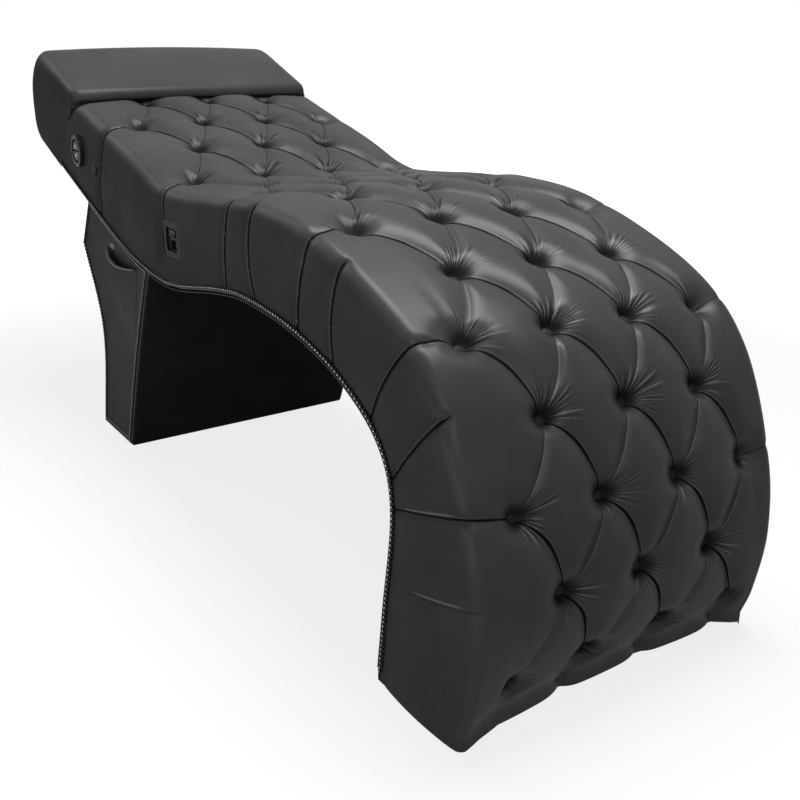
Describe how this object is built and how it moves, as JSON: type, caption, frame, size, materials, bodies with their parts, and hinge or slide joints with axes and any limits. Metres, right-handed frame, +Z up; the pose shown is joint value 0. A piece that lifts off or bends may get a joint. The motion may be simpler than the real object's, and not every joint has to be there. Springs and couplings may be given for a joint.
{
  "type": "beauty treatment bed",
  "caption": "Curved S-shaped treatment bed with deep-buttoned leather, plain headrest, arched foot end and waisted pedestal with a pocket, push-button control and power inlet.",
  "frame": {"origin": "on the floor under the middle of the bed's outer box", "axes": "+X from the headrest towards the foot end, -Y towards the side with the control and the inlet, +Z up"},
  "size_m": [1.8921, 0.6333, 0.9346],
  "materials": {
    "tufted_leather": "soft black upholstery leather with deep-buttoned diamonds",
    "plain_leather": "soft black upholstery leather, plain",
    "lining_cloth": "black lining cloth, matt",
    "plywood": "bare birch plywood, hidden by the cover",
    "nail_metal": "blackened steel nail trim, domed heads",
    "black_plastic": "black moulded plastic",
    "gloss_plastic": "glossy black plastic",
    "spring_steel": "bright spring steel",
    "brass_pin": "bright brass contacts",
    "glide_nylon": "dark nylon floor glides"
  },
  "bodies": {
    "bed": {"button_spring_lower": "spring_steel", "button_spring_upper": "spring_steel", "control_bezel": "gloss_plastic", "control_box": "black_plastic", "control_housing": "black_plastic", "foot_board": "plywood", "glide_foot_back_left": "glide_nylon", "glide_foot_back_right": "glide_nylon", "glide_foot_front_left": "glide_nylon", "glide_foot_front_right": "glide_nylon", "glide_pedestal_back_left": "glide_nylon", "glide_pedestal_back_right": "glide_nylon", "glide_pedestal_front_left": "glide_nylon", "glide_pedestal_front_right": "glide_nylon", "headboard": "plywood", "headrest_pad": "plain_leather", "inlet_module": "black_plastic", "inlet_pin_earth": "brass_pin", "inlet_pin_live": "brass_pin", "inlet_pin_neutral": "brass_pin", "inlet_plate": "black_plastic", "massage_motor_back": "black_plastic", "massage_motor_seat": "black_plastic", "nail_trim_left": "nail_metal", "nail_trim_right": "nail_metal", "pedestal_back": "plain_leather", "pedestal_base": "plywood", "pedestal_front": "plain_leather", "pedestal_side_left": "plain_leather", "pedestal_side_right": "plain_leather", "pedestal_top": "plywood", "pedestal_trim_left": "nail_metal", "pedestal_trim_right": "nail_metal", "pocket": "plain_leather", "rail_back": "plywood", "rail_calf": "plywood", "rail_foot": "plywood", "rail_knee": "plywood", "rail_shin": "plywood", "rail_shoulder": "plywood", "rail_waist": "plywood", "rocker_pin": "spring_steel", "seat_deck": "plywood", "side_frame_left": "plywood", "side_frame_right": "plywood", "tufted_pad": "tufted_leather", "underside_lining": "lining_cloth"},
    "upper_button": {"control_button_upper": "gloss_plastic"},
    "lower_button": {"control_button_lower": "gloss_plastic"},
    "rocker": {"rocker_switch": "gloss_plastic"}
  },
  "joints": [
    {"name": "upper_button_press", "type": "slide", "parent": "bed", "child": "upper_button", "axis": [0, 1, 0], "range_m": [0, 0.002], "stiffness_N_per_m": 400, "deforming": ["button_spring_upper"]},
    {"name": "lower_button_press", "type": "slide", "parent": "bed", "child": "lower_button", "axis": [0, 1, 0], "range_m": [0, 0.002], "stiffness_N_per_m": 400, "deforming": ["button_spring_lower"]},
    {"name": "rocker_tip", "type": "hinge", "parent": "bed", "child": "rocker", "pos_m": [-0.051, -0.2965, 0.59], "axis": [1, 0, 0], "range_deg": [0, 16]}
  ]
}
